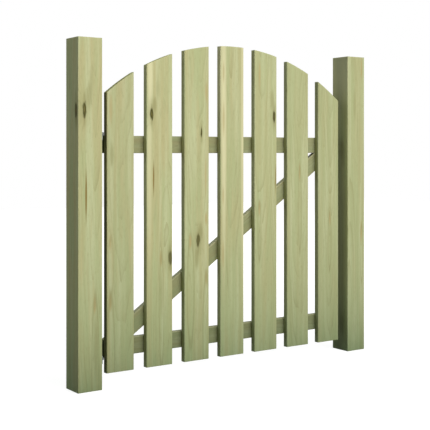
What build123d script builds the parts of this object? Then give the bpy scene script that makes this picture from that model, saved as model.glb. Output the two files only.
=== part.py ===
from build123d import *
import os
from math import asin, atan2, degrees, hypot

# An arched garden gate: seven pales on two rails and a brace, hung between two square posts.
# Origin at the middle of the hinge post's foot, X along the gate, Y to the back, Z up, millimetres.

# Posts, from the ground up
POST_SIDE = 75.0
POST_HEIGHT = 983.0
POST_ARRIS = 1.5

# Leaf, measured from the ground and between the posts
SIDE_GAP = 24.0
LEAF_SETBACK = 19.0
GROUND_CLEARANCE = 39.0
SHOULDER_HEIGHT = 794.0
ARCH_RISE = 156.0

# Pales
PALE_COUNT = 7
PALE_WIDTH = 89.0
PALE_THICKNESS = 17.0
PALE_GAP = 41.5
PALE_ARRIS = 3.0

# Rails, and the brace that runs from the hinge side's foot to the latch side's head
RAIL_HEIGHT = 50.5
RAIL_THICKNESS = 17.0
RAIL_ARRIS = 2.0
TOP_RAIL_DROP = 121.5
BOTTOM_RAIL_LIFT = 41.5
BRACE_WIDTH = 50.5

# Hinge pins, with the running clearance of the rolled eyes and the gap where an eye bears
PIN_DIAMETER = 10.0
PIN_STAND_OFF = 28.5
PIN_PROUD = 5.0
PIN_CHAMFER = 1.5
EYE_CLEARANCE = 0.15
EYE_SEAT_GAP = 0.3

# Hooks: a plate on the post's inner face, and a web with a round boss that carries the pin
HOOK_PLATE_THICKNESS = 4.0
HOOK_PLATE_HEIGHT = 25.0
HOOK_PLATE_INSET = 4.5
HOOK_PLATE_CORNER = 4.0
HOOK_BOSS_RADIUS = 8.0
HOOK_BOSS_HEIGHT = 25.0
HOOK_WEB_WIDTH = 9.0
TOP_HOOK_RISE = 9.5
BOTTOM_HOOK_DROP = 10.5

# Bands: a tapered strap on the back of the rail, rolled into an eye round the pin
BAND_THICKNESS = 4.0
BAND_HEIGHT = 21.0
BAND_LENGTH = 280.0
BAND_TIP_RADIUS = 7.0

# How far a cutting shape runs past the piece that it trims
CUT_OVERRUN = 10.0

# Places worked out from the sizes above
POST_FACE = POST_SIDE / 2
PALE_PITCH = PALE_WIDTH + PALE_GAP
LEAF_WIDTH = PALE_COUNT * PALE_PITCH - PALE_GAP
LEAF_LEFT = POST_FACE + SIDE_GAP
LEAF_MIDDLE = LEAF_LEFT + LEAF_WIDTH / 2
LATCH_POST_X = LEAF_LEFT + LEAF_WIDTH + SIDE_GAP + POST_FACE

PALE_FRONT = LEAF_SETBACK - POST_FACE
RAIL_FRONT = PALE_FRONT + PALE_THICKNESS
RAIL_BACK = RAIL_FRONT + RAIL_THICKNESS

PALE_FOOT = GROUND_CLEARANCE
SHOULDER = PALE_FOOT + SHOULDER_HEIGHT
CROWN = SHOULDER + ARCH_RISE
TOP_RAIL_TOP = SHOULDER - TOP_RAIL_DROP
TOP_RAIL_FOOT = TOP_RAIL_TOP - RAIL_HEIGHT
BOTTOM_RAIL_FOOT = PALE_FOOT + BOTTOM_RAIL_LIFT
BOTTOM_RAIL_TOP = BOTTOM_RAIL_FOOT + RAIL_HEIGHT

PIN_RADIUS = PIN_DIAMETER / 2
EYE_INNER = PIN_RADIUS + EYE_CLEARANCE
EYE_OUTER = EYE_INNER + BAND_THICKNESS
PIN_X = POST_FACE + PIN_STAND_OFF
PIN_Y = RAIL_BACK + EYE_OUTER
TOP_HOOK_FOOT = TOP_RAIL_TOP + TOP_HOOK_RISE - HOOK_PLATE_HEIGHT
BOTTOM_HOOK_TOP = BOTTOM_RAIL_FOOT - BOTTOM_HOOK_DROP + HOOK_PLATE_HEIGHT


def upright(width, depth, arris, height):
    """A bar of rounded rectangular section that stands on the ground plane, centred on Z."""
    return extrude(RectangleRounded(width, depth, arris), height)


def make_post(x):
    """A square post with eased arrises and a flat top."""
    return Pos(x, 0, 0) * upright(POST_SIDE, POST_SIDE, POST_ARRIS, POST_HEIGHT)


def leaf_outline():
    """The leaf's front outline as a block: square feet, and one circular arc over all the pales."""
    half = LEAF_WIDTH / 2
    left_shoulder = (-half, SHOULDER)
    right_shoulder = (half, SHOULDER)
    sides = Polyline(left_shoulder, (-half, PALE_FOOT), (half, PALE_FOOT), right_shoulder)
    arch = ThreePointArc(right_shoulder, (0, CROWN), left_shoulder)
    face = Plane.XZ.offset(-CUT_OVERRUN) * make_face([sides, arch])
    block = extrude(face, PALE_THICKNESS + 2 * CUT_OVERRUN)
    return Pos(LEAF_MIDDLE, RAIL_FRONT, 0) * block


def make_pale(index, outline):
    """One pale, its long arrises eased, its head cut to the arch."""
    x = LEAF_LEFT + PALE_WIDTH / 2 + index * PALE_PITCH
    y = PALE_FRONT + PALE_THICKNESS / 2
    return (Pos(x, y, 0) * upright(PALE_WIDTH, PALE_THICKNESS, PALE_ARRIS, CROWN)) & outline


def lying_bar(length, height):
    """A bar of the rails' thickness along X, centred on the origin."""
    section = Plane.YZ * RectangleRounded(RAIL_THICKNESS, height, RAIL_ARRIS)
    return extrude(section, length / 2, both=True)


def make_rail(foot):
    """A rail across the whole leaf, behind the pales."""
    y = RAIL_FRONT + RAIL_THICKNESS / 2
    return Pos(LEAF_MIDDLE, y, foot + RAIL_HEIGHT / 2) * lying_bar(LEAF_WIDTH, RAIL_HEIGHT)


def make_brace():
    """The brace, cut level against both rails so that its outer corners reach the leaf's edges."""
    clear_height = TOP_RAIL_FOOT - BOTTOM_RAIL_TOP
    diagonal = hypot(LEAF_WIDTH, clear_height)
    slope = degrees(atan2(clear_height, LEAF_WIDTH) + asin(BRACE_WIDTH / diagonal))
    bar = Rot(0, -slope, 0) * lying_bar(diagonal + 2 * BRACE_WIDTH, BRACE_WIDTH)
    between_rails = Box(LEAF_WIDTH, RAIL_THICKNESS, clear_height)
    y = RAIL_FRONT + RAIL_THICKNESS / 2
    return Pos(LEAF_MIDDLE, y, BOTTOM_RAIL_TOP + clear_height / 2) * (bar & between_rails)


def make_hook():
    """A hook with its pin up: the boss's bearing face lies at zero height, on the pin's axis."""
    plate_width = POST_SIDE - 2 * HOOK_PLATE_INSET
    plate_face = Plane.YZ * RectangleRounded(plate_width, HOOK_PLATE_HEIGHT, HOOK_PLATE_CORNER)
    plate = Pos(POST_FACE - PIN_X, -PIN_Y, -HOOK_PLATE_HEIGHT / 2) * extrude(plate_face, HOOK_PLATE_THICKNESS)
    web = Pos(-PIN_STAND_OFF / 2, 0, 0) * Rectangle(PIN_STAND_OFF, HOOK_WEB_WIDTH)
    boss = extrude(Circle(HOOK_BOSS_RADIUS) + web, -HOOK_BOSS_HEIGHT)
    pin = extrude(Circle(PIN_RADIUS), EYE_SEAT_GAP + BAND_HEIGHT + PIN_PROUD)
    pin = chamfer(pin.edges().sort_by(Axis.Z)[-1], PIN_CHAMFER)
    return plate + boss + pin


def make_band():
    """A band on a pin at the origin: the strap's front face is flush with the front of the eye."""
    tip_x = LEAF_LEFT - PIN_X + BAND_LENGTH - BAND_TIP_RADIUS
    strap = Pos(tip_x / 2 + BAND_TIP_RADIUS / 2, BAND_THICKNESS / 2 - EYE_OUTER, 0)
    strap = strap * Rectangle(tip_x + BAND_TIP_RADIUS, BAND_THICKNESS)
    plan = Circle(EYE_OUTER) + strap - Circle(EYE_INNER)
    rolled = extrude(plan, BAND_HEIGHT)
    root = Rectangle(2 * EYE_OUTER, BAND_HEIGHT)
    tip = Pos(tip_x, 0) * Circle(BAND_TIP_RADIUS)
    side = Plane.XZ * make_hull(root.edges() + tip.edges())
    return rolled & (Pos(0, 0, BAND_HEIGHT / 2) * extrude(side, 2 * EYE_OUTER, both=True))


def make_parts():
    """Every piece of the gate, by name, in its place."""
    outline = leaf_outline()
    parts = {
        "hinge_post": make_post(0),
        "latch_post": make_post(LATCH_POST_X),
        "top_rail": make_rail(TOP_RAIL_FOOT),
        "bottom_rail": make_rail(BOTTOM_RAIL_FOOT),
        "brace": make_brace(),
    }
    for index in range(PALE_COUNT):
        parts[f"pale_{index + 1}"] = make_pale(index, outline)

    # The top hook points down and the bottom hook up, so that the leaf can't be lifted off.
    bottom_seat = Pos(PIN_X, PIN_Y, BOTTOM_HOOK_TOP)
    top_seat = Pos(PIN_X, PIN_Y, TOP_HOOK_FOOT)
    parts["bottom_hook"] = bottom_seat * make_hook()
    parts["top_hook"] = top_seat * mirror(make_hook(), Plane.XY)
    parts["bottom_band"] = bottom_seat * Pos(0, 0, EYE_SEAT_GAP) * make_band()
    parts["top_band"] = top_seat * Pos(0, 0, -EYE_SEAT_GAP - BAND_HEIGHT) * make_band()
    return parts


os.makedirs("parts", exist_ok=True)
for name, solid in make_parts().items():
    export_step(solid, f"parts/{name}.step")
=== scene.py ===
"""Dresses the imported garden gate: treated pine, galvanised hook and band hinges, screws and a stage."""
import math
from typing import NamedTuple

import bpy
import numpy as np
from bpy.props import FloatProperty, FloatVectorProperty, IntProperty, PointerProperty
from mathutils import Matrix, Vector


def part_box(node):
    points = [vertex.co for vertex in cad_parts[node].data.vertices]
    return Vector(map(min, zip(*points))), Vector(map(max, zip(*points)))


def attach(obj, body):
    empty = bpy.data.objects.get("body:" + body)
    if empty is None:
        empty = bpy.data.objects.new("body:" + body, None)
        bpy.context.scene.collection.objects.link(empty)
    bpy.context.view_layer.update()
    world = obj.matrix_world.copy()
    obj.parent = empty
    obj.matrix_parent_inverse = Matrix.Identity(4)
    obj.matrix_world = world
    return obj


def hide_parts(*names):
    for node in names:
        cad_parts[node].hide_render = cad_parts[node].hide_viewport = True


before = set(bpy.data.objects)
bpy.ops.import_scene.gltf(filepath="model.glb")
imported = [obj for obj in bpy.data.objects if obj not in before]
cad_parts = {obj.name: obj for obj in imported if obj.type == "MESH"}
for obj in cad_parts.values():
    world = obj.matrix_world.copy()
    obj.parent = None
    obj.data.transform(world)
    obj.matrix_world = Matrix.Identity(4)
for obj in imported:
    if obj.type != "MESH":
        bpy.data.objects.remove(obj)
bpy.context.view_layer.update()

bl_info = {
    "name": "Arched garden gate",
    "version": (1, 0, 0),
    "blender": (4, 5, 0),
    "location": "3D View > Sidebar > Gate",
    "description": "Timber, hinges, screws and studio stage for an arched palisade garden gate",
    "category": "Add Mesh",
}

MM = 0.001

MATH = "ShaderNodeMath"
VECTOR = "ShaderNodeVectorMath"
RANGE = "ShaderNodeMapRange"
NOISE = "ShaderNodeTexNoise"
MIX = "ShaderNodeMix"
MAPPING = "ShaderNodeMapping"
COORDS = "ShaderNodeTexCoord"
# Numbers of a colour Mix node's two colour inputs and of its colour output
MIX_A, MIX_B, MIX_OUT = 6, 7, 2


def linear(hex_colour):
    """An sRGB hex colour as linear red, green, blue and full alpha."""
    srgb = np.array([int(hex_colour[i:i + 2], 16) for i in (1, 3, 5)]) / 255
    light = np.where(srgb <= 0.04045, srgb / 12.92, ((srgb + 0.055) / 1.055) ** 2.4)
    return (*light.tolist(), 1.0)


def colour_property(name, description, hex_colour):
    """A colour that a user may change, written as sRGB hex."""
    return FloatVectorProperty(
        name=name, description=description, subtype="COLOR", size=4, min=0, max=1, default=linear(hex_colour)
    )


def length_property(name, description, millimetres):
    """A length that a user may change, written in millimetres and kept in metres."""
    return FloatProperty(
        name=name, description=description, default=millimetres * MM, min=0, unit="LENGTH", precision=5
    )


def power_property(name, description, watts):
    """The power of a lamp, which a user may change."""
    return FloatProperty(name=name, description=description, default=watts, min=0, unit="POWER")


class TimberSettings(bpy.types.PropertyGroup):
    """Sizes and colours of the posts, pales, rails and brace"""

    post_arris: length_property("Post arris", "Radius of the posts' long edges", 1.5)
    pale_arris: length_property("Pale arris", "Radius of the pales' long edges at the front", 3.0)
    pale_back_arris: length_property("Pale back arris", "Radius of the pales' long edges at the back", 0.5)
    rail_arris: length_property("Rail arris", "Radius of the rails' and the brace's long edges", 2.0)
    cut_ease: length_property("Cut ease", "Radius left by sanding the sawn ends", 0.5)
    face_hollow: length_property("Face hollow", "How far a dried face has cupped at its middle", 0.35)
    arris_wander: length_property("Arris wander", "How far the planed faces stray along their length", 0.2)
    knot_relief: length_property("Knot relief", "How far a hard knot stands proud after drying", 0.35)
    ring_width: length_property("Growth ring", "Mean width of one year's growth", 5.0)
    # Painted shade: height in which the darkening towards the ground falls by half
    ground_shade_height: length_property("Damp height", "Height in which the darkening by damp falls by half", 125.0)
    green: colour_property("Green sapwood", "Where the preservative took well", "#B4B986")
    tan: colour_property("Tan sapwood", "Where the wood's own colour comes through", "#BDB583")
    mint: colour_property("Pale sapwood", "Where the preservative took lightly", "#C7CA9C")
    cream: colour_property("Cream sapwood", "Outermost sapwood, almost free of green", "#DAD5A6")
    latewood: colour_property("Latewood", "The dense line that ends each year's growth", "#9C9866")
    knot_rim: colour_property("Knot rim", "The dark bark line round a knot", "#474416")
    knot_heart: colour_property("Knot heart", "The middle of a knot", "#766C38")
    resin: colour_property("Resin streak", "Resin and brown stain along the grain", "#856F34")
    # Painted shade: this dark colour darkens the narrow gaps beside the posts, the rails' ends by the hinge
    # post and the brace's top, where shade falls
    grime: colour_property("Grime", "Dirt and algae in the narrow gaps beside the posts", "#35381F")
    blush: colour_property("Blush", "Faint reddish stain along the grain", "#B9A975")
    # Painted shade: this tint darkens the wood towards the ground
    foot: colour_property("Foot tint", "Damp and splash, as a tint at ground level", "#ACBCB6")
    end_grain: colour_property("End grain", "Tint of sawn ends, which soak up more", "#DADDC8")
    # Partly painted shade: the rails and brace lie behind the pales, and this tint darkens them for that
    # shade as well as for their sawn surface
    sawn_and_shade_tint: colour_property("Sawn tint", "Tint of the rails and brace, left rough from the saw", "#CCCDCA")


class IronworkSettings(bpy.types.PropertyGroup):
    """Sizes and colours of the hinges and screws"""

    band_thickness: length_property("Band thickness", "Thickness of the straps and plates", 4.0)
    band_tip: length_property("Band tip", "Radius of a strap's rounded tip", 7.0)
    eye_turn: FloatProperty(
        name="Eye turn", description="How far a strap is rolled round its pin", default=math.radians(298),
        min=0, max=2 * math.pi, subtype="ANGLE",
    )
    plate_height: length_property("Plate height", "Height of a hook's plate", 25.0)
    plate_corner: length_property("Plate corner", "Corner radius of a hook's plate", 4.0)
    boss_height: length_property("Boss height", "Height of the boss that carries a pin", 25.0)
    web_width: length_property("Web", "Thickness of the web between a plate and its boss", 9.0)
    pin_width: length_property("Pin", "Diameter of a hinge pin", 10.0)
    edge_ease: length_property("Edge ease", "Radius of the straps' and plates' edges", 0.8)
    bolt_width: length_property("Coach screw", "Width of a coach screw's head across its flats", 10.0)
    bolt_height: length_property("Coach screw height", "Height of a coach screw's head", 4.2)
    screw_width: length_property("Screw head", "Diameter of a round screw head", 8.0)
    screw_height: length_property("Screw head height", "Height of a round screw head", 2.4)
    spangle: length_property("Spangle", "Size of the zinc crystals on the hinges", 6.0)
    zinc: colour_property("Zinc", "Galvanised zinc, weathered dull", "#767B78")
    zinc_dark: colour_property("Dark zinc", "The darker crystals of the spangle", "#555A57")
    zinc_bloom: colour_property("Zinc bloom", "Chalky white bloom on the zinc", "#9DA39F")
    plating: colour_property("Screw plating", "Bright zinc plating with a yellow cast", "#BDB69C")


class StageSettings(bpy.types.PropertyGroup):
    """Light and floor of the stage"""

    key_power: power_property("Key power", "Power of the soft lamp in front", 414.0)
    side_power: power_property("Side power", "Power of the soft lamp on the right", 414.0)
    fill_power: power_property("Fill power", "Power of the weak soft lamp on the left", 33.0)
    rim_power: power_property("Rim power", "Power of the soft lamp behind on the left", 98.0)
    back_power: power_property("Back power", "Power of the soft lamp behind", 300.0)
    top_power: power_property("Top power", "Power of the soft lamp overhead", 120.0)
    sky_strength: FloatProperty(
        name="Sky", description="Strength of the even light all round", default=0.04, min=0
    )
    fill_colour: colour_property("Fill colour", "Cool light on the shaded sides", "#F2FFFF")
    floor_size: length_property("Floor size", "Side of the square floor", 16000.0)
    floor: colour_property("Floor", "Board of the studio floor, for light that bounces off it", "#616160")
    floor_steps: IntProperty(
        name="Floor steps", description="Divisions of the floor's grid", default=24, min=2
    )


class Mark(NamedTuple):
    """A knot, flame or stain on a board, or a patch of painted shade or highlight: its middle across, deep
    and along, and its half sizes, all in mm.
    """

    kind: str
    across: float
    along: float
    half_width: float
    half_length: float
    strength: float = 1.0
    deep: float = 0.0
    half_depth: float = 30.0


class Board(NamedTuple):
    """One piece of timber: its place, the turn of its grain about Y, and how it was sawn from the log.

    Its arris is one radius, or one for each corner of the section, anticlockwise from the back right.
    """

    name: str
    body: str
    centre: tuple
    turn: float
    section: tuple
    arris: object
    seed: int
    pith: tuple
    lean: tuple
    tone: float
    warmth: float
    marks: tuple
    sawn: bool


# Depth of a post's front face from its middle, in mm
POST_FACE = -37.5

# The marks of each board, read off the photo. Across is from the board's middle. Along is the height,
# or on the rails and the brace the distance from their middle towards the latch post. A flame is a tall
# narrow arch where a growth ring comes to the surface, and a blush often lies at its tip.
BOARD_MARKS = {
    "hinge_post": (
        Mark("knot", -18, 782, 6.2, 23, deep=POST_FACE, half_depth=18),
        Mark("knot", -37.5, 781, 8, 22, deep=-25, half_depth=7),
        Mark("haze", -3, 822, 11, 42, 0.55, deep=POST_FACE),
        Mark("haze", 4, 866, 8, 46, 0.35, deep=POST_FACE),
        Mark("resin", -12.8, 545, 3.2, 82, deep=POST_FACE),
        Mark("blush", 14, 240, 5, 30, deep=POST_FACE),
        Mark("flame", 16, 52, 11, 210, deep=POST_FACE),
        Mark("haze", 17, 120, 9, 110, 0.5, deep=POST_FACE),
    ),
    "pale_1": (
        # Painted shade on the first pale's left side, which faces the hinge post across a narrow gap
        Mark("grime", -46, 436, 4.0, 900, 0.95, deep=2, half_depth=20),
        Mark("blush", -31, 785, 7, 55, 0.7),
        Mark("haze", -28, 658, 7, 40, 0.6),
        # Painted shade along the first pale's front beside its left edge, which the hinge post shades
        Mark("haze", -40, 640, 8, 150, 0.3),
        Mark("pale", -34, 330, 9, 110, 0.5),
        Mark("blush", -33, 241, 6, 30),
        Mark("flame", -31, 60, 13, 200),
        Mark("blush", -33, 408, 5, 28, 0.7),
        Mark("flame", -31, 340, 9, 84, 0.7),
    ),
    "pale_2": (
        Mark("cream", -32, 890, 12, 110, 0.9),
        Mark("cream", -34, 620, 10, 330, 0.55),
        Mark("knot", -27, 775, 6.4, 18),
        Mark("haze", -16, 802, 9, 28, 0.7),
        Mark("haze", -6, 848, 8, 38, 0.35),
        Mark("resin", -20.5, 588, 3.0, 60),
        Mark("knot", 37, 353, 7.5, 22, 0.75),
        Mark("blush", 4.3, 352, 5, 28),
        Mark("flame", 6.5, 198, 8, 170),
        Mark("haze", 7, 250, 8, 80, 0.4),
    ),
    "pale_3": (
        Mark("knot", 16.8, 722, 3, 15),
        Mark("knot", 5, 398, 8, 20, 0.78),
        Mark("haze", 14, 425, 9, 30, 0.7),
        Mark("haze", 0, 345, 9, 40, 0.7),
        Mark("flame", -22, 250, 13, 165),
        Mark("blush", -23, 396, 5, 26),
        Mark("blush", 35, 846, 6, 36, 0.8),
        Mark("blush", 32, 590, 5, 70, 0.6),
        Mark("blush", 34, 463, 5, 24, 0.9),
        Mark("blush", 34, 285, 5, 28, 0.9),
        Mark("flame", 35, 120, 13, 180),
    ),
    "pale_4": (
        Mark("cream", -46, 920, 6, 190),
        Mark("cream", -31, 770, 12, 520),
        Mark("cream", 40, 760, 8, 560, 0.8),
        Mark("blush", -32, 908, 4.5, 38, 0.6),
        Mark("blush", -32, 766, 5.5, 60, 0.6),
        Mark("blush", -34, 530, 4, 34, 0.6),
        Mark("blush", -34, 352, 5, 48, 0.7),
    ),
    "pale_5": (
        Mark("knot", 33.5, 778, 5.8, 20, 0.95),
        Mark("haze", 26, 830, 8, 40, 0.6),
        Mark("blush", -24, 910, 4.5, 48, 0.9),
        Mark("resin", 39.5, 579, 2.6, 55, 0.8),
        Mark("blush", -25, 488, 4.5, 30, 0.9),
        Mark("flame", -25, 416, 7, 90),
        Mark("haze", -22, 380, 9, 90, 0.3),
    ),
    "pale_6": (
        Mark("blush", 8.2, 600, 4, 34),
        Mark("flame", 9, 480, 7, 140),
    ),
    "pale_7": (
        Mark("blush", 7.4, 446, 4.5, 30),
        Mark("flame", 6, 370, 7, 97),
    ),
    "latch_post": (
        # Painted light on the latch post's left face above the last pale, where no pale shades it
        Mark("cream", -40, 930, 6, 130, 0.85, half_depth=120),
        # Painted shadow of the last pale on the latch post's left face
        Mark("grime", -37.5, 300, 6, 700, 0.4, deep=5, half_depth=35),
        Mark("blush", 25, 946, 4, 42, 0.9, deep=POST_FACE),
        Mark("haze", -6, 822, 8, 60, 0.4, deep=POST_FACE),
        Mark("blush", 24, 398, 4.5, 46, 0.9, deep=POST_FACE),
        Mark("flame", 25, 325, 6, 95, deep=POST_FACE),
    ),
    "top_rail": (
        # Painted shade on the rail's end beside the hinge post
        Mark("grime", 0, -440, 60, 10, 0.9),
        Mark("knot", 6, 150, 5, 9),
        Mark("blush", -8, -260, 3, 40, 0.7),
    ),
    "bottom_rail": (
        # Painted shade on the rail's end beside the hinge post
        Mark("grime", 0, -440, 60, 10, 0.9),
        # Painted highlight along the rail's front top edge
        Mark("cream", -24.5, 0, 3, 2000, deep=-8, half_depth=3),
        Mark("knot", -5, 262, 6, 10),
        Mark("blush", 9, -130, 3, 45, 0.7),
    ),
    "brace": (
        # Painted highlight along the brace's front top edge
        Mark("cream", -24.5, 0, 3, 2000, deep=-8, half_depth=3),
        # Painted shade on the brace's top edge at its upper end, under the top rail
        Mark("grime", -26, 440, 4, 75, 0.9, deep=2, half_depth=9),
        Mark("knot", 4, -150, 6, 12),
        Mark("resin", -9, 120, 2.5, 50, 0.5),
    ),
}

# How each board was sawn: its seed, its pith across and deep in mm, the lean of the log in degrees, how light
# it came out, and how much of the tan figure shows
BOARD_SAWING = {
    "hinge_post": (11, (22, 30), (1.6, -0.8), 1.08, 1.0),
    "latch_post": (23, (-28, 24), (-1.2, 1.1), 0.97, 0.5),
    "pale_1": (31, (8, 70), (2.2, 0.6), 1.02, 1.0),
    "pale_2": (42, (26, 58), (-1.8, -0.9), 1.09, 0.9),
    "pale_3": (53, (4, 46), (2.6, 0.4), 1.065, 0.9),
    "pale_4": (64, (-3, 64), (1.5, 0.2), 1.04, 0.8),
    "pale_5": (75, (-22, 52), (2.4, 0.8), 1.04, 0.6),
    "pale_6": (86, (7, 44), (2.8, -0.3), 1.0, 0.4),
    "pale_7": (97, (6, 50), (2.4, 0.5), 0.965, 0.4),
    "top_rail": (108, (14, -46), (2.0, 0.7), 1.03, 0.9),
    "bottom_rail": (119, (-10, -40), (-2.2, 0.5), 0.98, 0.7),
    "brace": (130, (9, -38), (1.9, -0.6), 1.07, 0.7),
}


class Figure(NamedTuple):
    """A pattern in the wood's colour: its paint, its size across and along the grain in mm, and its detail.

    It starts to show where the noise passes one value, is full at the other, and is then at its most.
    """

    paint: str
    across: float
    along: float
    detail: float
    none_at: float
    full_at: float
    most: float


# From broad patches where the wood's own colour comes through, and soft pale bands, to streaks and flecks
FIGURES = (
    Figure("tan", 28, 300, 1.0, 0.36, 0.68, 0.9),
    Figure("mint", 18, 460, 1.0, 0.4, 0.74, 0.7),
    Figure("mint", 6, 420, 1.5, 0.5, 0.8, 0.3),
    Figure("tan", 10, 130, 1.5, 0.48, 0.75, 0.35),
    Figure("green", 4.5, 90, 2.0, 0.55, 0.8, 0.25),
    Figure("latewood", 4, 16, 1.0, 0.5, 0.85, 0.3),
)

# How a mark bends the growth rings round it: where its push ends and where it is full, in half sizes, and the
# full push in ring widths
RING_PUSHES = {"knot": (4.0, 0.3, 1.6), "flame": (1.6, 0.3, 1.8)}

PALES = tuple(f"pale_{i}" for i in range(1, 8))
RAILS = ("top_rail", "bottom_rail")


def node_box(node):
    """Lowest and highest corner of a CAD node, as arrays."""
    low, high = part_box(node)
    return np.array(low), np.array(high)


def describe_board(name, body, centre, turn, section, arris, sawn=False):
    """A board's place joined with its sawing and its marks."""
    log = BOARD_SAWING[name]
    return Board(name, body, tuple(centre), turn, section, arris, *log, BOARD_MARKS[name], sawn)


def upright_board(name, body, arris):
    """A board that stands in its CAD node's box, with the heights of its foot and its head."""
    low, high = node_box(name)
    middle = (low + high) / 2
    section = (high[0] - low[0], high[1] - low[1])
    board = describe_board(name, body, (middle[0], middle[1], 0), 0, section, arris)
    return board, low[2], high[2]


ARC_STEPS = 6
EASE_STEPS = 4
NO_LENGTH = 1e-9


def rounded_outline(width, depth, radius, spacing):
    """Points round a rectangle with rounded corners, and the outward direction at each, anticlockwise.

    Each corner is a quarter circle about its own centre, in equal turns, and may have its own radius. Each
    straight run between two corners is divided evenly into lengths no longer than the spacing, and a run of
    no length is left out.
    """
    radii = np.broadcast_to(radius, 4)[:, None, None]
    turns = np.linspace(0, math.pi / 2, ARC_STEPS + 1)
    angles = turns[None, :] + math.pi / 2 * np.arange(4)[:, None]
    outward = np.stack([np.cos(angles), np.sin(angles)], axis=-1)
    signs = np.array([[1, 1], [-1, 1], [-1, -1], [1, -1]])
    arcs = signs[:, None, :] * (np.array([width, depth]) / 2 - radii) + radii * outward
    points, normals = [], []
    for corner in range(4):
        start, end = arcs[corner, -1], arcs[(corner + 1) % 4, 0]
        run = np.linalg.norm(end - start)
        kept = ARC_STEPS + 1 if run > NO_LENGTH else ARC_STEPS
        parts = max(1, math.ceil(run / spacing))
        shares = np.arange(1, parts)[:, None] / parts
        points += [arcs[corner, :kept], start + shares * (end - start)]
        normals += [outward[corner, :kept], np.repeat(outward[corner, -1:], parts - 1, axis=0)]
    return np.concatenate(points), np.concatenate(normals)


def carry(outline, normals, foot, head, ease, spacing, cap_rings=6):
    """A closed outline carried from a foot cut to a head cut, as rings of points across, deep and along.

    Foot and head give the cut's height for each place across. A point between them lies at a fixed share of
    the way. Near each cut the outline is drawn in along its normals by a quarter circle of the ease's radius,
    and the cut itself is filled by rings that shrink evenly to its middle.
    """
    quarter = np.linspace(0, math.pi / 2, EASE_STEPS)
    length = float(np.min(head(outline[:, 0])) - np.max(foot(outline[:, 0])))
    steps = max(2, math.ceil(length / spacing))
    shrink = np.linspace(0, 1, cap_rings + 1)[:-1]
    middle = np.linspace(0, 1, steps + 1)[1:-1]
    inset = np.concatenate([np.full(cap_rings, ease), ease * (1 - np.sin(quarter))])
    rise = np.concatenate([np.zeros(cap_rings), ease * (1 - np.cos(quarter))])
    scale = np.concatenate([shrink, np.ones(len(quarter))])
    inset = np.concatenate([inset, np.zeros(len(middle)), inset[::-1]])
    rise = np.concatenate([rise, np.full(len(middle), ease), rise[::-1]])
    scale = np.concatenate([scale, np.ones(len(middle)), scale[::-1]])
    ends = cap_rings + len(quarter)
    share = np.concatenate([np.zeros(ends), middle, np.ones(ends)])
    flat = (outline[None] - inset[:, None, None] * normals[None]) * scale[:, None, None]
    low = foot(flat[..., 0]) + rise[:, None]
    high = head(flat[..., 0]) - rise[:, None]
    along = low + share[:, None] * (high - low)
    return np.concatenate([flat, along[..., None]], axis=-1)


def skin_faces(rings, around, first):
    """Quads between rings that close on themselves, and fans of triangles to a pole at each end."""
    index = first + 1 + np.arange((rings - 2) * around).reshape(rings - 2, around)
    following = np.roll(index, -1, axis=1)
    quads = np.stack([index[:-1], following[:-1], following[1:], index[1:]], axis=-1).reshape(-1, 4)
    foot_pole = np.full(around, first)
    head_pole = np.full(around, first + 1 + index.size)
    foot = np.stack([foot_pole, following[0], index[0]], axis=-1)
    head = np.stack([head_pole, index[-1], following[-1]], axis=-1)
    return quads.tolist() + foot.tolist() + head.tolist()


SHARP_ANGLE = math.radians(40)


def make_piece(name, body, grids, material, replaced=()):
    """One object from closed grids of rings, whose first and last rings have shrunk to poles."""
    vertices, faces, count = [], [], 0
    for grid in grids:
        rings, around = grid.shape[:2]
        vertices += [grid[0, :1], grid[1:-1].reshape(-1, 3), grid[-1, :1]]
        faces += skin_faces(rings, around, count)
        count += (rings - 2) * around + 2
    mesh = bpy.data.meshes.new(name)
    mesh.from_pydata(np.concatenate(vertices).tolist(), [], faces)
    mesh.shade_smooth()
    mesh.set_sharp_from_angle(angle=SHARP_ANGLE)
    mesh.materials.append(material)
    piece = bpy.data.objects.new(name, mesh)
    bpy.context.scene.collection.objects.link(piece)
    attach(piece, body)
    if replaced:
        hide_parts(*replaced)


def turned(points, centre, turn):
    """Points across, deep and along a board, turned about Y by the turn and moved to the board's place."""
    cos, sin = math.cos(turn), math.sin(turn)
    matrix = np.array([[cos, 0, sin], [0, 1, 0], [-sin, 0, cos]])
    return points @ matrix.T + np.array(centre)


# Lengths of the waves along a board in metres, and each one's share of the whole
WAVE_LENGTHS = np.array([0.61, 0.27, 0.113])
WAVE_SHARES = np.array([0.5, 0.3, 0.2])


def stray(along, seed):
    """A slow wave along a board: three sines of different length and phase, from minus one to one."""
    random = np.random.default_rng(seed)
    phases = random.uniform(0, 2 * math.pi, len(WAVE_LENGTHS))
    return (np.sin(along[..., None] * 2 * math.pi / WAVE_LENGTHS + phases) * WAVE_SHARES).sum(-1)


# Spacing of a board's points across its faces and along its length
FACE_SPACING = 3.2 * MM
STATION_SPACING = 5 * MM
# The ways that a board's four sides face, and how squarely a point faces front or back on a broad face
SIDE_WAYS = np.array([[1, 0], [0, 1], [-1, 0], [0, -1]])
BROAD_FACING = 0.9


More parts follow.
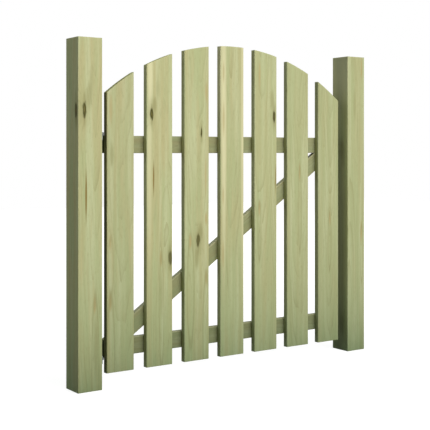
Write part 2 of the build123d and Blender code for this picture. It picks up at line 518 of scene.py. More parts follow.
def make_timber(board, foot, head, timber):
    """A board: its rounded section carried along the grain, drawn in a little where it cupped and strayed.

    The stray is a slow wave along each side, and the corners take a share from both sides, as the square of
    how far they face each way. The hollow is a parabola across the two broad faces. A knot is a low bell that
    fills up part of both. Nothing stands proud of the section.
    """
    width, depth = board.section
    outline, normals = rounded_outline(width, depth, board.arris, FACE_SPACING)
    grid = carry(outline, normals, foot, head, timber.cut_ease, STATION_SPACING)
    across, deep, along = np.moveaxis(grid, -1, 0)
    lift = np.zeros(across.shape)
    for number, way in enumerate(SIDE_WAYS):
        facing = np.clip(normals @ way, 0, 1) ** 2
        lift -= facing * timber.arris_wander * (0.5 + 0.5 * stray(along, board.seed * 10 + number))
    broad = np.abs(normals[:, 1]) > BROAD_FACING
    lift -= broad * timber.face_hollow * (1 - (2 * across / width) ** 2)
    for mark in board.marks:
        if mark.kind == "knot":
            shape = [
                (across - mark.across * MM) / (mark.half_width * MM),
                (deep - mark.deep * MM) / (mark.half_depth * MM),
                (along - mark.along * MM) / (mark.half_length * MM),
            ]
            lift += timber.knot_relief * np.exp(-sum(part ** 2 for part in shape) ** 2)
    grid[..., :2] += normals[None] * np.minimum(lift, 0)[..., None]
    material = treated_pine(board, timber)
    points = turned(grid, board.centre, board.turn)
    make_piece(board.name, board.body, [points], material, (board.name,))


def add(tree, kind, links=None, **settings):
    """Adds one node and gives its outputs. Settings are attributes, links are inputs: sockets or values."""
    node = tree.nodes.new(kind)
    for key, value in settings.items():
        setattr(node, key, value)
    for key, value in (links or {}).items():
        if isinstance(value, bpy.types.NodeSocket):
            tree.links.new(value, node.inputs[key])
        else:
            node.inputs[key].default_value = value
    return node.outputs


def along_grain(tree, place, across_mm, along_mm, seed, detail=2.0):
    """A noise whose patches are so many millimetres across the grain and so many along it."""
    per_metre = (1 / (across_mm * MM), 1 / (across_mm * MM), 1 / (along_mm * MM))
    shift = (seed * 3.7, seed * 1.9, seed * 5.3)
    spread = add(tree, VECTOR, {0: place, 1: per_metre, 2: shift}, operation="MULTIPLY_ADD")[0]
    return add(tree, NOISE, {"Vector": spread, "Scale": 1.0, "Detail": detail, "Roughness": 0.55})


def mark_distance(tree, place, mark):
    """How far a place is from a mark's middle, as a share of its half sizes."""
    middle = (mark.across * MM, mark.deep * MM, mark.along * MM)
    halves = (mark.half_width * MM, mark.half_depth * MM, mark.half_length * MM)
    away = add(tree, VECTOR, {0: place, 1: middle}, operation="SUBTRACT")[0]
    share = add(tree, VECTOR, {0: away, 1: halves}, operation="DIVIDE")[0]
    return add(tree, VECTOR, {0: share}, operation="LENGTH")["Value"]


def fade(tree, value, none_at, full_at, most=1.0):
    """A smooth step of a value, from nothing at one end to the most at the other."""
    ends = {"Value": value, "From Min": none_at, "From Max": full_at, "To Min": 0.0, "To Max": most}
    return add(tree, RANGE, ends, interpolation_type="SMOOTHSTEP")[0]


def lay_over(tree, colour, layers, blend="MIX"):
    """Paints laid over a colour one after another, each by its own amount."""
    for amount, paint in layers:
        links = {0: amount, MIX_A: colour, MIX_B: paint}
        colour = add(tree, MIX, links, data_type="RGBA", blend_type=blend)[MIX_OUT]
    return colour


def new_material(name):
    """A new material, its node tree and its shader."""
    material = bpy.data.materials.new(name)
    material.use_nodes = True
    tree = material.node_tree
    return material, tree, tree.nodes["Principled BSDF"]


# How the fibres wander: patches so many mm across and along the grain, and the whole swing each way in metres
SLOW_PATCH, SLOW_SWING = (60, 520), (16 * MM, 16 * MM, 0)
FAST_PATCH, FAST_SWING = (9, 80), (1.3 * MM, 1.3 * MM, 9 * MM)
# Place along a board, in metres, where its leaning pith lies as the table of sawing gives it
PITH_ALONG = 0.5
# How sharply a year's growth darkens towards its end
LATEWOOD_POWER = 5.0
# Patches of the latewood's strength, a knot's ragged edge and the fibres, in mm across and along the grain.
# Single fibres are about 0.05 mm wide. They are drawn here as 1.8 mm bundles, so that they show.
LATEWOOD_PATCH, RAGGED_PATCH, FIBRE_PATCH = (24, 260), (4, 22), (1.8, 55)
# Where a paint ends, where it is full, and its most: by the noise for latewood, and in half sizes for marks
LATEWOOD_FADE = (0.35, 0.7, 0.62)
STAIN_FADE = (1.2, 0.35)
FLAME_FADE = (0.2, 0.02, 0.5)
KNOT_HAZE, KNOT_TAIL = (3.4, 0.8, 0.4), (1.8, 0.7, 0.55)
KNOT_RIM, KNOT_HEART = (1.7, 1.2), (1.05, 0.6, 0.75)
# How dark and light the fibres make the wood
FIBRE_TONES = (0.96, 1.04)


# Treated pine: planed softwood, pressure treated with a green copper preservative and dried. The planing
# leaves a low sheen. The sapwood takes the green unevenly, so bands of yellow green and cream run along the
# grain, with olive latewood lines, brown knots and a few resin streaks. Sawn ends are darker, and the feet
# are darker still by painted shade.
def treated_pine(board, timber):
    """The board's own cut through a log: growth rings about a leaning pith, pushed aside by its knots."""
    material, tree, shader = new_material("treated_pine_" + board.name)
    seed = board.seed

    coords = add(tree, COORDS)
    turn = {"Vector": coords["Object"], "Location": board.centre, "Rotation": (0, board.turn, 0)}
    place = add(tree, MAPPING, turn, vector_type="TEXTURE")[0]

    # The fibres wander some millimetres over half a metre, and part of a millimetre over some centimetres
    wanders = []
    moved = place
    for number, patch, swing in ((1, FAST_PATCH, FAST_SWING), (0, SLOW_PATCH, SLOW_SWING)):
        noise = along_grain(tree, place, *patch, seed + number)["Color"]
        noise = add(tree, VECTOR, {0: noise, 1: (0.5, 0.5, 0.5)}, operation="SUBTRACT")[0]
        moved = add(tree, VECTOR, {0: noise, 1: swing, 2: moved}, operation="MULTIPLY_ADD")[0]
        wanders.append(moved)
    bent, waved = wanders

    # Rings: the distance from the log's leaning pith, pushed outwards by knots and flames, in ring widths
    pith = (board.pith[0] * MM, board.pith[1] * MM, PITH_ALONG)
    lean = (math.radians(board.lean[0]), math.radians(board.lean[1]), 0)
    log = {"Vector": waved, "Location": pith, "Rotation": lean}
    log = add(tree, MAPPING, log, vector_type="TEXTURE")[0]
    flat = add(tree, VECTOR, {0: log, 1: (1, 1, 0)}, operation="MULTIPLY")[0]
    radius = add(tree, VECTOR, {0: flat}, operation="LENGTH")["Value"]
    distances = [(mark, mark_distance(tree, bent, mark)) for mark in board.marks]
    for mark, distance in distances:
        if mark.kind in RING_PUSHES:
            reach, full, rings = RING_PUSHES[mark.kind]
            push = fade(tree, distance, reach, full, rings * timber.ring_width)
            radius = add(tree, MATH, {0: radius, 1: push}, operation="ADD")[0]
    years = add(tree, MATH, {0: radius, 1: timber.ring_width}, operation="DIVIDE")[0]
    year = add(tree, MATH, {0: years}, operation="FRACT")[0]
    late = add(tree, MATH, {0: year, 1: LATEWOOD_POWER}, operation="POWER")[0]

    # Layers of colour, each an amount and its paint: first the figure of the wood
    layers = []
    for number, figure in enumerate(FIGURES):
        pattern = along_grain(tree, waved, figure.across, figure.along, seed + 10 + number, figure.detail)
        most = figure.most * (board.warmth if figure.paint == "tan" else 1.0)
        amount = fade(tree, pattern[0], figure.none_at, figure.full_at, most)
        layers.append((amount, getattr(timber, figure.paint)))

    # Latewood lines, plain in some places and almost gone in others
    strength = along_grain(tree, waved, *LATEWOOD_PATCH, seed + 4)[0]
    strength = fade(tree, strength, *LATEWOOD_FADE)
    lines = add(tree, MATH, {0: late, 1: strength}, operation="MULTIPLY")[0]
    layers.append((lines, timber.latewood))

    # Stains along the grain, patches of painted shade and painted highlight, and the single dark line of each
    # flame
    paints = {
        "cream": timber.cream, "pale": timber.mint, "haze": timber.latewood,
        "resin": timber.resin, "blush": timber.blush, "grime": timber.grime,
    }
    for mark, distance in distances:
        if mark.kind in paints:
            layers.append((fade(tree, distance, *STAIN_FADE, mark.strength), paints[mark.kind]))
        elif mark.kind == "flame":
            rim = add(tree, MATH, {0: distance, 1: 1.0}, operation="SUBTRACT")[0]
            rim = add(tree, MATH, {0: rim}, operation="ABSOLUTE")[0]
            end, full, most = FLAME_FADE
            layers.append((fade(tree, rim, end, full, most * mark.strength), timber.latewood))

    # Knots: a dark ragged rim of bark round a browner heart, and dark fibres that trail away along the grain
    ragged = along_grain(tree, place, *RAGGED_PATCH, seed + 6)[0]
    knots = []
    for mark, distance in distances:
        if mark.kind == "knot":
            rough = add(tree, MATH, {0: ragged, 1: 1.0, 2: distance}, operation="MULTIPLY_ADD")[0]
            trail = mark._replace(half_width=0.75 * mark.half_width, half_length=2.4 * mark.half_length)
            tail = mark_distance(tree, bent, trail)
            tail = add(tree, MATH, {0: ragged, 1: 1.2, 2: tail}, operation="MULTIPLY_ADD")[0]
            core = fade(tree, rough, *KNOT_RIM, mark.strength)
            end, full, most = KNOT_HEART
            layers += [
                (fade(tree, distance, *KNOT_HAZE), timber.latewood),
                (fade(tree, tail, *KNOT_TAIL), timber.knot_heart),
                (core, timber.knot_rim),
                (fade(tree, rough, end, full, most * mark.strength), timber.knot_heart),
            ]
            knots.append(core)
    colour = lay_over(tree, timber.green, layers)

    # The fibres, and how light the whole board came out
    fibre = along_grain(tree, place, *FIBRE_PATCH, seed + 5, 3.0)[0]
    grain = fade(tree, fibre, 0.25, 0.75)
    dark, light = FIBRE_TONES
    value = {"Value": grain, "To Min": dark * board.tone, "To Max": light * board.tone}
    value = add(tree, RANGE, value)[0]
    shade = add(tree, "ShaderNodeHueSaturation", {"Color": colour, "Value": value})[0]

    # Sawn ends, found by how far the surface faces along the grain, and painted shade towards the ground that
    # halves every so much height
    grain_way = (math.sin(board.turn), 0, math.cos(board.turn))
    facing = {0: coords["Normal"], 1: grain_way}
    facing = add(tree, VECTOR, facing, operation="DOT_PRODUCT")["Value"]
    facing = add(tree, MATH, {0: facing}, operation="ABSOLUTE")[0]
    sawn = fade(tree, facing, 0.3, 0.5)
    height = add(tree, "ShaderNodeSeparateXYZ", {0: coords["Object"]})[2]
    halvings = add(tree, MATH, {0: height, 1: timber.ground_shade_height}, operation="DIVIDE")[0]
    ground_shade = add(tree, MATH, {0: 0.5, 1: halvings}, operation="POWER")[0]
    tints = [(sawn, timber.end_grain), (ground_shade, timber.foot)]
    # The rails and brace take a darker tint, for their rougher sawn surface and as painted shade from the
    # pales in front
    if board.sawn:
        tints.append((1.0, timber.sawn_and_shade_tint))
    tree.links.new(lay_over(tree, shade, tints, "MULTIPLY"), shader.inputs["Base Color"])

    # Planed and weathered wood has a faint sheen, duller on the soft early growth, dullest on sawn ends
    shader.inputs["Specular IOR Level"].default_value = 0.2
    dull = add(tree, RANGE, {"Value": late, "To Min": 0.72, "To Max": 0.58})[0]
    dull = add(tree, MATH, {0: sawn, 1: 0.25, 2: dull}, operation="MULTIPLY_ADD")[0]
    tree.links.new(dull, shader.inputs["Roughness"])
    ridge = add(tree, MATH, {0: late, 1: 0.5, 2: grain}, operation="MULTIPLY_ADD")[0]
    for core in knots:
        ridge = add(tree, MATH, {0: core, 1: 0.6, 2: ridge}, operation="MULTIPLY_ADD")[0]
    bump = add(tree, "ShaderNodeBump", {"Height": ridge, "Strength": 0.35, "Distance": 0.25 * MM})
    tree.links.new(bump[0], shader.inputs["Normal"])
    return material


# Sizes of the patches of bloom and the pits on the zinc, and of the patches of wear on the screws
BLOOM_SIZE, PIT_SIZE, WEAR_SIZE = 14 * MM, 2.2 * MM, 3 * MM


# Galvanised steel: mild steel dipped in molten zinc. The zinc freezes in flat crystals some millimetres wide,
# each with its own grey, and weathers to a dull grey with a chalky bloom.
def galvanised_steel(ironwork):
    """Crystals from a cell pattern at the spangle's size, with bloom from a soft noise."""
    material, tree, shader = new_material("hot_dip_galvanised_steel")
    place = add(tree, COORDS)["Object"]
    cells = add(tree, "ShaderNodeTexVoronoi", {"Vector": place, "Scale": 1 / ironwork.spangle})
    tone = add(tree, "ShaderNodeSeparateColor", {0: cells["Color"]})[0]
    bloom = add(tree, NOISE, {"Vector": place, "Scale": 1 / BLOOM_SIZE, "Detail": 4.0})[0]
    bloom = fade(tree, bloom, 0.5, 0.75, 0.6)
    colour = lay_over(tree, ironwork.zinc_dark, [(tone, ironwork.zinc), (bloom, ironwork.zinc_bloom)])
    tree.links.new(colour, shader.inputs["Base Color"])
    rough = add(tree, RANGE, {"Value": tone, "To Min": 0.45, "To Max": 0.62})[0]
    rough = add(tree, MATH, {0: bloom, 1: 0.3, 2: rough}, operation="MULTIPLY_ADD")[0]
    tree.links.new(rough, shader.inputs["Roughness"])
    shader.inputs["Metallic"].default_value = 1.0
    shader.inputs["Specular Tint"].default_value = ironwork.zinc_dark
    pits = add(tree, NOISE, {"Vector": place, "Scale": 1 / PIT_SIZE, "Detail": 3.0})[0]
    pits = add(tree, MATH, {0: tone, 1: 0.4, 2: pits}, operation="MULTIPLY_ADD")[0]
    bump = add(tree, "ShaderNodeBump", {"Height": pits, "Strength": 0.3, "Distance": 0.2 * MM})
    tree.links.new(bump[0], shader.inputs["Normal"])
    return material


# Zinc plated steel: cold headed screws, electroplated and passivated, so smoother and brighter than the
# hinges, with a faint yellow cast and rubbed marks from the driver.
def zinc_plated_steel(ironwork):
    """Bright plating with a soft cloud of wear."""
    material, tree, shader = new_material("zinc_plated_steel")
    place = add(tree, COORDS)["Object"]
    wear = add(tree, NOISE, {"Vector": place, "Scale": 1 / WEAR_SIZE, "Detail": 3.0})[0]
    colour = lay_over(tree, ironwork.plating, [(fade(tree, wear, 0.4, 0.7, 0.7), ironwork.zinc)])
    tree.links.new(colour, shader.inputs["Base Color"])
    rough = add(tree, RANGE, {"Value": wear, "To Min": 0.24, "To Max": 0.46})[0]
    tree.links.new(rough, shader.inputs["Roughness"])
    shader.inputs["Metallic"].default_value = 1.0
    return material


# Spacing of the points of the ironwork
METAL_SPACING = 2 * MM
# Each hook with its band. The bottom hook's pin points up, and the top hook's down, so the leaf can't lift.
HINGES = (("top_hook", "top_band"), ("bottom_hook", "bottom_band"))


def level(height):
    """A cut at one height, whatever the place across."""
    return lambda across: np.full(np.shape(across), float(height))


class GATE_OT_posts(bpy.types.Operator):
    """Make the two posts, square in section with flat tops"""

    bl_idname = "gate.posts"
    bl_label = "Posts"

    def execute(self, context):
        timber = context.scene.gate_timber
        for name in ("hinge_post", "latch_post"):
            board, foot, head = upright_board(name, "posts", timber.post_arris)
            make_timber(board, level(foot), level(head), timber)
        return {"FINISHED"}


def arch_over_leaf():
    """The circle that the pales' heads follow: its middle across, its middle's height and its radius.

    The first pale is highest at its inner edge, and the middle pale at the leaf's middle. A circle through
    both, centred under the crown, has the radius (run squared + drop squared) / (2 * drop).
    """
    first_low, first_high = node_box(PALES[0])
    last_high = node_box(PALES[-1])[1]
    crown = node_box(PALES[len(PALES) // 2])[1][2]
    middle = (first_low[0] + last_high[0]) / 2
    run = middle - first_high[0]
    drop = crown - first_high[2]
    radius = (run ** 2 + drop ** 2) / (2 * drop)
    return middle, crown - radius, radius


class GATE_OT_pales(bpy.types.Operator):
    """Make the seven pales, with their heads cut to one arch"""

    bl_idname = "gate.pales"
    bl_label = "Pales"

    def execute(self, context):
        timber = context.scene.gate_timber
        arch_x, arch_z, radius = arch_over_leaf()
        arris = (*[timber.pale_back_arris] * 2, *[timber.pale_arris] * 2)
        for name in PALES:
            board, foot, _ = upright_board(name, "leaf", arris)
            offset = board.centre[0] - arch_x

            def arch(across, offset=offset):
                return arch_z + np.sqrt(radius ** 2 - (across + offset) ** 2)

            make_timber(board, level(foot), arch, timber)
        return {"FINISHED"}


class GATE_OT_rails(bpy.types.Operator):
    """Make the two rails, and the brace that is cut level between them"""

    bl_idname = "gate.rails"
    bl_label = "Rails and brace"

    def execute(self, context):
        timber = context.scene.gate_timber
        lying = math.pi / 2
        for name in RAILS:
            low, high = node_box(name)
            section = (high[2] - low[2], high[1] - low[1])
            half = (high[0] - low[0]) / 2
            board = describe_board(name, "leaf", (low + high) / 2, lying, section, timber.rail_arris, True)
            make_timber(board, level(-half), level(half), timber)

        # The brace is as wide as a rail, and its slope makes opposite corners meet the ends of its box
        low, high = node_box("brace")
        rail_low, rail_high = node_box(RAILS[0])
        width = rail_high[2] - rail_low[2]
        run, rise = high[0] - low[0], high[2] - low[2]
        slope = math.atan2(rise, run) + math.asin(width / math.hypot(run, rise))
        section = (width, high[1] - low[1])
        centre = (low + high) / 2
        board = describe_board("brace", "leaf", centre, lying - slope, section, timber.rail_arris, True)

        def top_cut(across):
            return (rise / 2 + across * math.cos(slope)) / math.sin(slope)

        def bottom_cut(across):
            return (across * math.cos(slope) - rise / 2) / math.sin(slope)

        make_timber(board, bottom_cut, top_cut, timber)
        return {"FINISHED"}


def plate_grid(height, width, thickness, corner, ease, centre):
    """A flat plate with rounded corners against a face that looks along X: its outline carried along X."""
    outline, normals = rounded_outline(height, width, corner, METAL_SPACING)
    grid = carry(outline, normals, level(0), level(thickness), ease, METAL_SPACING)
    return turned(grid, centre, math.pi / 2)


def bar_grid(width, depth, radius, low, high, ease, centre):
    """An upright bar with rounded corners between two heights: its outline carried along Z."""
    outline, normals = rounded_outline(width, depth, radius, METAL_SPACING)
    grid = carry(outline, normals, level(low), level(high), ease, METAL_SPACING)
    return turned(grid, (centre[0], centre[1], 0), 0)


def eye_of(band):
    """The outer radius of a band's eye, which fills one end of the band's box, and its axis in plan."""
    low, high = node_box(band)
    radius = (high[1] - low[1]) / 2
    return radius, low[:2] + radius


# Points along a strap's rounded tip, its straight and its eye, and the shrinking sections that close the eye
TIP_POINTS, STRAP_POINTS, EYE_POINTS = 12, 70, 60
CLOSING_SHARES = np.array([0.97, 0.9, 0.5, 0.0])


def band_grid(band, ironwork):
    """A strap rolled into an eye: a rounded flat section carried along the strap and round the eye.

    In plan the path runs straight from the tip to the pin's axis, then turns about the axis for most of a
    circle. The section's height falls in a straight line from the eye to the tip, where it follows a circle.
    """
    thick, tip = ironwork.band_thickness, ironwork.band_tip
    low, high = node_box(band)
    eye, axis = eye_of(band)
    tall = high[2] - low[2]
    tip_start = high[0] - tip
    ends = np.linspace(0, math.pi / 2, TIP_POINTS)
    straight = np.linspace(tip_start, axis[0], STRAP_POINTS)[1:-1]
    strap_x = np.concatenate([high[0] - tip * (1 - np.cos(ends)), straight])
    angle = -math.pi / 2 - np.linspace(0, ironwork.eye_turn, EYE_POINTS)
    centre = eye - thick / 2
    path_x = np.concatenate([strap_x, axis[0] + centre * np.cos(angle)])
    path_y = np.concatenate([np.full(len(strap_x), low[1] + thick / 2), axis[1] + centre * np.sin(angle)])
    out_x = np.concatenate([np.zeros(len(strap_x)), np.cos(angle)])
    out_y = np.concatenate([np.full(len(strap_x), -1.0), np.sin(angle)])
    root = axis[0] + eye
    fall = np.clip((path_x - root) / (tip_start - root), 0, 1)
    half = tall / 2 + fall * (tip - tall / 2)
    round_tip = np.sqrt(np.clip(tip ** 2 - np.clip(path_x - tip_start, 0, tip) ** 2, 0, None))
    half = np.where(path_x > tip_start, round_tip, half)
    edge = np.sqrt(np.clip(1 - (1 - np.clip((high[0] - path_x) / ironwork.edge_ease, 0, 1)) ** 2, 0, 1))
    outline, _ = rounded_outline(thick, tall, ironwork.edge_ease, METAL_SPACING)
    shrink = np.concatenate([np.ones(len(path_x)), CLOSING_SHARES])
    path_x, path_y, out_x, out_y, half, edge = (
        np.concatenate([part, np.repeat(part[-1:], len(CLOSING_SHARES))])
        for part in (path_x, path_y, out_x, out_y, half, edge)
    )
    thin = outline[None, :, 0] * (edge * shrink)[:, None]
    rise = outline[None, :, 1] * (half / (tall / 2) * shrink)[:, None]
    points = [path_x[:, None] + out_x[:, None] * thin, path_y[:, None] + out_y[:, None] * thin]
    return np.stack([*points, (low[2] + high[2]) / 2 + rise], axis=-1)


# A round head's upright rim as a share of its height. Its recess: half the width of a bar, the bars' reach
# and the slope of their ends, as shares of the radius, and the depth as a share of the height.
RIM_SHARE = 0.25
BAR_HALF, BAR_REACH, BAR_SLOPE, BAR_DEPTH = 0.14, 0.55, 0.03, 0.5


def round_head_grid(width, height, around=28):
    """A round screw head on its axis: a dome on a low rim, flat underneath, with a cross recess pressed in.

    The dome's height is the square root of one less the squared share of the radius. The recess takes away a
    fixed depth where either of two crossed bars lies, and its walls slope.
    """
    angle = np.linspace(0, 2 * math.pi, around, endpoint=False)
    under = np.array([0.0, 0.6, 1.0])
    over = np.array([1.0, 0.97, 0.88, 0.74, 0.6, 0.5, 0.4, 0.3, 0.2, 0.1, 0.0])
    share = np.concatenate([under, over])[:, None] * np.ones(around)
    x, y = share * np.cos(angle), share * np.sin(angle)
    dome = np.sqrt(np.clip(1 - share ** 2, 0, 1)) * (1 - RIM_SHARE) + RIM_SHARE * (share < 1.0)
    bars = np.maximum(np.exp(-(x / BAR_HALF) ** 4), np.exp(-(y / BAR_HALF) ** 4))
    dome -= BAR_DEPTH * bars * (1 / (1 + np.exp((share - BAR_REACH) / BAR_SLOPE)))
    dome[:len(under)] = 0
    return np.stack([x * width / 2, y * width / 2, dome * height], axis=-1)


# A coach screw's washer: its thickness, its radius as a share of the head's width, and its eased edge
WASHER_THICKNESS, WASHER_SHARE, WASHER_EASE = 1.2 * MM, 0.8, 0.3 * MM
# Eased edge of a coach screw's head, its points all round and the rings that fill its ends
COACH_EASE, COACH_POINTS, COACH_RINGS = 0.7 * MM, 36, 3


def hex_head_grid(width, height):
    """A coach screw's head on its axis, over its washer: a hexagon carried up, its rim eased.

    The hexagon's radius is half its width over the cosine of the angle from the middle of the nearest flat.
    """
    angle = np.linspace(0, 2 * math.pi, COACH_POINTS, endpoint=False)
    outward = np.stack([np.cos(angle), np.sin(angle)], axis=-1)
    flat = (angle + math.pi / 6) % (math.pi / 3) - math.pi / 6
    hexagon = outward * (width / 2 / np.cos(flat))[:, None]
    washer = outward * width * WASHER_SHARE
    foot, top = WASHER_THICKNESS / 2, WASHER_THICKNESS + height
    return [
        carry(hexagon, outward, level(foot), level(top), COACH_EASE, METAL_SPACING, COACH_RINGS),
        carry(washer, outward, level(0), level(WASHER_THICKNESS), WASHER_EASE, METAL_SPACING, COACH_RINGS),
    ]


# Turns that lay a screw's axis along +Y or +X
TO_BACK = np.array([[1, 0, 0], [0, 0, 1], [0, -1, 0]])
TO_SIDE = np.array([[0, 0, 1], [1, 0, 0], [0, 1, 0]])
# How far each screw is turned past the one before it, in radians
SPIN_STEP = 2.4


def fixed_at(grids, places, way):
    """Copies of grids on the Z axis, each spun a little, turned the way a face looks and moved to a place."""
    out = []
    for number, place in enumerate(places):
        cos, sin = math.cos(SPIN_STEP * number), math.sin(SPIN_STEP * number)
        spun = np.array([[cos, -sin, 0], [sin, cos, 0], [0, 0, 1]])
        out += [grid @ spun.T @ way.T + np.array(place) for grid in grids]
    return out


# Eased end of a hinge pin, and the weld between a hook's plate and web: how much wider than the web it is,
# its thickness, its corners and its eased edge
PIN_EASE = 1.5 * MM
WELD_WIDER, WELD_THICKNESS, WELD_CORNER, WELD_EASE = 5 * MM, 2 * MM, 2.5 * MM, 1.8 * MM


class GATE_OT_hinges(bpy.types.Operator):
    """Make the hooks on the post and the bands on the rails"""

    bl_idname = "gate.hinges"
    bl_label = "Hinges"

    def execute(self, context):
        ironwork = context.scene.gate_ironwork
        steel = galvanised_steel(ironwork)
        ease, thick = ironwork.edge_ease, ironwork.band_thickness
        plate, boss, pin = ironwork.plate_height, ironwork.boss_height, ironwork.pin_width
        web = ironwork.web_width
        for _, band in HINGES:
            make_piece(band, "leaf", [band_grid(band, ironwork)], steel, (band,))
        for name, band in HINGES:
            low, high = node_box(name)
            axis = eye_of(band)[1]
            up = name == "bottom_hook"
            seat = low[2] + plate if up else high[2] - plate
            plate_low, boss_low = (low[2], seat - boss) if up else (seat, seat)
            pin_ends = (seat - boss / 2, high[2]) if up else (low[2], seat + boss / 2)
            reach = high[0] - axis[0]
            boss_ends = (boss_low, boss_low + boss)
            plate_centre = (low[0], (low[1] + high[1]) / 2, plate_low + plate / 2)
            web_centre = ((low[0] + axis[0]) / 2, axis[1])
            weld_centre = (low[0] + thick, axis[1], boss_low + boss / 2)
            weld_size = (boss - WELD_THICKNESS, web + WELD_WIDER, WELD_THICKNESS, WELD_CORNER, WELD_EASE)
            grids = [
                plate_grid(plate, high[1] - low[1], thick, ironwork.plate_corner, ease, plate_centre),
                bar_grid(2 * reach, 2 * reach, reach, *boss_ends, ease, axis),
                bar_grid(axis[0] - low[0], web, ease, *boss_ends, ease, web_centre),
                bar_grid(pin, pin, pin / 2, *pin_ends, PIN_EASE, axis),
                plate_grid(*weld_size, weld_centre),
            ]
            make_piece(name, "posts", grids, steel, (name,))
        return {"FINISHED"}


# Places of the screws: along a strap, and across a plate, as shares of its box
STRAP_SCREWS = (0.17, 0.52, 0.87)
PLATE_SCREWS = (0.2, 0.55)
# Through a rail, from the middle: up or down as a share of its height, aside as a share of the pale's width
RAIL_SCREW_RISE, RAIL_SCREW_ASIDE = 0.35, 0.27
# Through the brace, from its middle line in each pale: aside, and up or down
BRACE_SCREW_ASIDE, BRACE_SCREW_RISE = 14 * MM, 9 * MM
# Room between a strap's tip and the next screw
STRAP_ROOM = 10 * MM


class GATE_OT_screws(bpy.types.Operator):
    """Make the coach screws of the hinges and the screws that hold the pales from behind"""

    bl_idname = "gate.screws"
    bl_label = "Screws"

    def execute(self, context):
        ironwork = context.scene.gate_ironwork
        steel = zinc_plated_steel(ironwork)
        coach = hex_head_grid(ironwork.bolt_width, ironwork.bolt_height)
        strap_places, plate_places, rail_places = [], [], []

        # Three coach screws along each strap, and four round screws through each plate in front of its web
        for _, band in HINGES:
            low, high = node_box(band)
            back = low[1] + ironwork.band_thickness
            middle = (low[2] + high[2]) / 2
            strap_places += [(low[0] + share * (high[0] - low[0]), back, middle) for share in STRAP_SCREWS]
        for name, _ in HINGES:
            low, high = node_box(name)
            half = ironwork.plate_height / 2
            middle = low[2] + half if name == "bottom_hook" else high[2] - half
            face = low[0] + ironwork.band_thickness
            aside = ironwork.plate_height / 4
            for share in PLATE_SCREWS:
                y = low[1] + share * (high[1] - low[1])
                plate_places += [(face, y, middle - aside), (face, y, middle + aside)]

        # Two screws through each rail into each pale, clear of the straps, and two through the brace
        strap_end = node_box("top_band")[1][0] + STRAP_ROOM
        for rail in RAILS:
            low, high = node_box(rail)
            middle, rise = (low[2] + high[2]) / 2, RAIL_SCREW_RISE * (high[2] - low[2])
            for pale in PALES:
                pale_low, pale_high = node_box(pale)
                x = (pale_low[0] + pale_high[0]) / 2
                aside = RAIL_SCREW_ASIDE * (pale_high[0] - pale_low[0])
                for side in (-1, 1):
                    clear = side if x + side * aside > strap_end else -1
                    rail_places.append((x + side * aside, high[1], middle + clear * rise))
        low, high = node_box("brace")
        slope = (high[2] - low[2]) / (high[0] - low[0])
        for pale in PALES[1:-1]:
            pale_low, pale_high = node_box(pale)
            for side in (-1, 1):
                x = (pale_low[0] + pale_high[0]) / 2 + side * BRACE_SCREW_ASIDE
                middle = (low[2] + high[2]) / 2 + slope * (x - (low[0] + high[0]) / 2)
                rail_places.append((x, high[1], middle + side * BRACE_SCREW_RISE))

        head = [round_head_grid(ironwork.screw_width, ironwork.screw_height)]
        groups = {
            "strap_coach_screws": ("leaf", fixed_at(coach, strap_places, TO_BACK)),
            "plate_screws": ("posts", fixed_at(head, plate_places, TO_SIDE)),
            "pale_screws": ("leaf", fixed_at(head, rail_places, TO_BACK)),
        }
        for name, (body, grids) in groups.items():
            make_piece(name, body, grids, steel)
        return {"FINISHED"}


# The camera that was fitted to the photo: a level view from the front left, about three metres away
CAMERA_PLACE = (-1.24905, -2.4481, 0.665918)
CAMERA_YAW = math.radians(-34.69926)
CAMERA_LENS = 81.392
CAMERA_SHIFT = -0.14765
# The point that the lamps face, over the middle of the gate's foot
LAMP_TARGET = (0.5, 0.0, 0.6)
# Each lamp's turn to the right of the front and its height above the horizon in degrees, its distance from
# the target and its size in metres
LAMPS = {
    "key": (4, 8, 9.0, 4.0),
    "side": (33, 28, 9.0, 5.0),
    "fill": (-80, 21, 6.0, 3.0),
    "rim": (-128, 25, 9.0, 3.5),
    "back": (172, 35, 9.0, 4.0),
    "top": (0, 80, 9.0, 4.0),
}


def seen_directly(tree):
    """One for the camera's own rays and for those that a mirror or a glass sends on, otherwise nothing."""
    path = add(tree, "ShaderNodeLightPath")
    seen = {0: path["Is Camera Ray"], 1: path["Is Glossy Ray"]}
    seen = add(tree, MATH, seen, operation="MAXIMUM")[0]
    seen = {0: seen, 1: path["Is Transmission Ray"]}
    return add(tree, MATH, seen, operation="MAXIMUM")[0]


# What is seen of the floor glows least near the gate, and rises to white between two distances in metres.
# A grey adds the lamps' light, so that the gate's shadow shows.
GLOW_LEAST, GLOW_NEAR, GLOW_FAR = 0.86, 0.7, 1.8
SHADOW_GREY = (0.3, 0.3, 0.3, 1)
# How much lower the floor lies for each squared share of its side away from the middle, in metres
FLOOR_FALL = 0.02


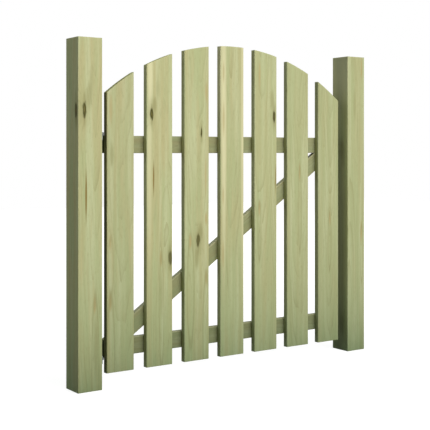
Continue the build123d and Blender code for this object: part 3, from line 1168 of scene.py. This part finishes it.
# White studio board: a matt painted sheet. The camera and reflections see it as white, apart from the
# object's soft shadow, and the light that it throws on to the object is that of a grey board.
def white_studio_board(stage):
    """Matt board for light that bounces; for what is seen, white with a faint shadow near the object."""
    material, tree, _ = new_material("white_studio_board")
    tree.nodes.clear()
    place = add(tree, COORDS)["Object"]
    away = add(tree, VECTOR, {0: place, 1: LAMP_TARGET}, operation="SUBTRACT")[0]
    away = add(tree, VECTOR, {0: away, 1: (1, 1, 0)}, operation="MULTIPLY")[0]
    away = add(tree, VECTOR, {0: away}, operation="LENGTH")["Value"]
    glow = {"Value": away, "From Min": GLOW_NEAR, "From Max": GLOW_FAR, "To Min": GLOW_LEAST, "To Max": 1.0}
    glow = add(tree, RANGE, glow)
    faint = add(tree, "ShaderNodeBsdfDiffuse", {"Color": SHADOW_GREY})
    white = add(tree, "ShaderNodeEmission", {"Strength": glow[0]})
    shown = add(tree, "ShaderNodeAddShader", {0: faint[0], 1: white[0]})
    matt = add(tree, "ShaderNodeBsdfDiffuse", {"Color": stage.floor})
    both = add(tree, "ShaderNodeMixShader", {0: seen_directly(tree), 1: matt[0], 2: shown[0]})
    add(tree, "ShaderNodeOutputMaterial", {"Surface": both[0]})
    return material


class GATE_OT_stage(bpy.types.Operator):
    """Make the floor, the soft light and the camera"""

    bl_idname = "gate.stage"
    bl_label = "Stage"

    def execute(self, context):
        scene = context.scene
        stage = scene.gate_stage
        scene.view_settings.view_transform = "Standard"

        # The floor is a flat grid of equal squares, a little lower towards its edges
        count = stage.floor_steps + 1
        line = np.linspace(-0.5, 0.5, count)
        x, y = np.meshgrid(line, line)
        across = x * stage.floor_size + LAMP_TARGET[0]
        points = np.stack([across, y * stage.floor_size, -FLOOR_FALL * (x ** 2 + y ** 2)], axis=-1)
        index = np.arange(count * count).reshape(count, count)
        quads = np.stack([index[:-1, :-1], index[:-1, 1:], index[1:, 1:], index[1:, :-1]], axis=-1)
        mesh = bpy.data.meshes.new("studio_floor")
        mesh.from_pydata(points.reshape(-1, 3).tolist(), [], quads.reshape(-1, 4).tolist())
        mesh.materials.append(white_studio_board(stage))
        floor = bpy.data.objects.new("studio_floor", mesh)
        scene.collection.objects.link(floor)

        for name, (turn, height, distance, size) in LAMPS.items():
            turn, height = math.radians(turn), math.radians(height)
            way = Vector((
                math.sin(turn) * math.cos(height), -math.cos(turn) * math.cos(height), math.sin(height)
            ))
            lamp = bpy.data.lights.new("soft_" + name, "AREA")
            lamp.shape = "DISK"
            lamp.size = size
            lamp.energy = getattr(stage, name + "_power")
            if name in ("fill", "rim"):
                lamp.color = stage.fill_colour[:3]
            holder = bpy.data.objects.new("soft_" + name, lamp)
            holder.location = Vector(LAMP_TARGET) + way * distance
            holder.rotation_euler = way.to_track_quat("Z", "Y").to_euler()
            scene.collection.objects.link(holder)

        world = bpy.data.worlds.new("studio_sky")
        world.use_nodes = True
        tree = world.node_tree
        seen = seen_directly(tree)
        strength = {"Value": seen, "To Min": stage.sky_strength, "To Max": 1.0}
        strength = add(tree, RANGE, strength)[0]
        sky = tree.nodes["Background"]
        sky.inputs["Color"].default_value = (1, 1, 1, 1)
        tree.links.new(strength, sky.inputs["Strength"])
        scene.world = world

        view = bpy.data.cameras.new("photo_view")
        view.lens = CAMERA_LENS
        view.shift_y = CAMERA_SHIFT
        camera = bpy.data.objects.new("photo_view", view)
        camera.location = CAMERA_PLACE
        camera.rotation_euler = (math.pi / 2, 0, CAMERA_YAW)
        scene.collection.objects.link(camera)
        scene.camera = camera
        return {"FINISHED"}


class GATE_PT_panel(bpy.types.Panel):
    """Lists the gate's operators"""

    bl_label = "Garden gate"
    bl_idname = "GATE_PT_panel"
    bl_space_type = "VIEW_3D"
    bl_region_type = "UI"
    bl_category = "Gate"

    def draw(self, context):
        for operator in OPERATORS:
            self.layout.operator(operator.bl_idname)


OPERATORS = (GATE_OT_posts, GATE_OT_pales, GATE_OT_rails, GATE_OT_hinges, GATE_OT_screws, GATE_OT_stage)
SETTINGS = {"gate_timber": TimberSettings, "gate_ironwork": IronworkSettings, "gate_stage": StageSettings}
CLASSES = (*SETTINGS.values(), *OPERATORS, GATE_PT_panel)


def register():
    """Registers the classes and hangs the settings on the scene."""
    for cls in CLASSES:
        bpy.utils.register_class(cls)
    for name, cls in SETTINGS.items():
        setattr(bpy.types.Scene, name, PointerProperty(type=cls))


def unregister():
    """Takes the settings and the classes away again."""
    for name in SETTINGS:
        delattr(bpy.types.Scene, name)
    for cls in reversed(CLASSES):
        bpy.utils.unregister_class(cls)


def main():
    """Makes every piece in order."""
    register()
    bpy.ops.gate.posts()
    bpy.ops.gate.pales()
    bpy.ops.gate.rails()
    bpy.ops.gate.hinges()
    bpy.ops.gate.screws()
    bpy.ops.gate.stage()


if __name__ == "__main__":
    main()
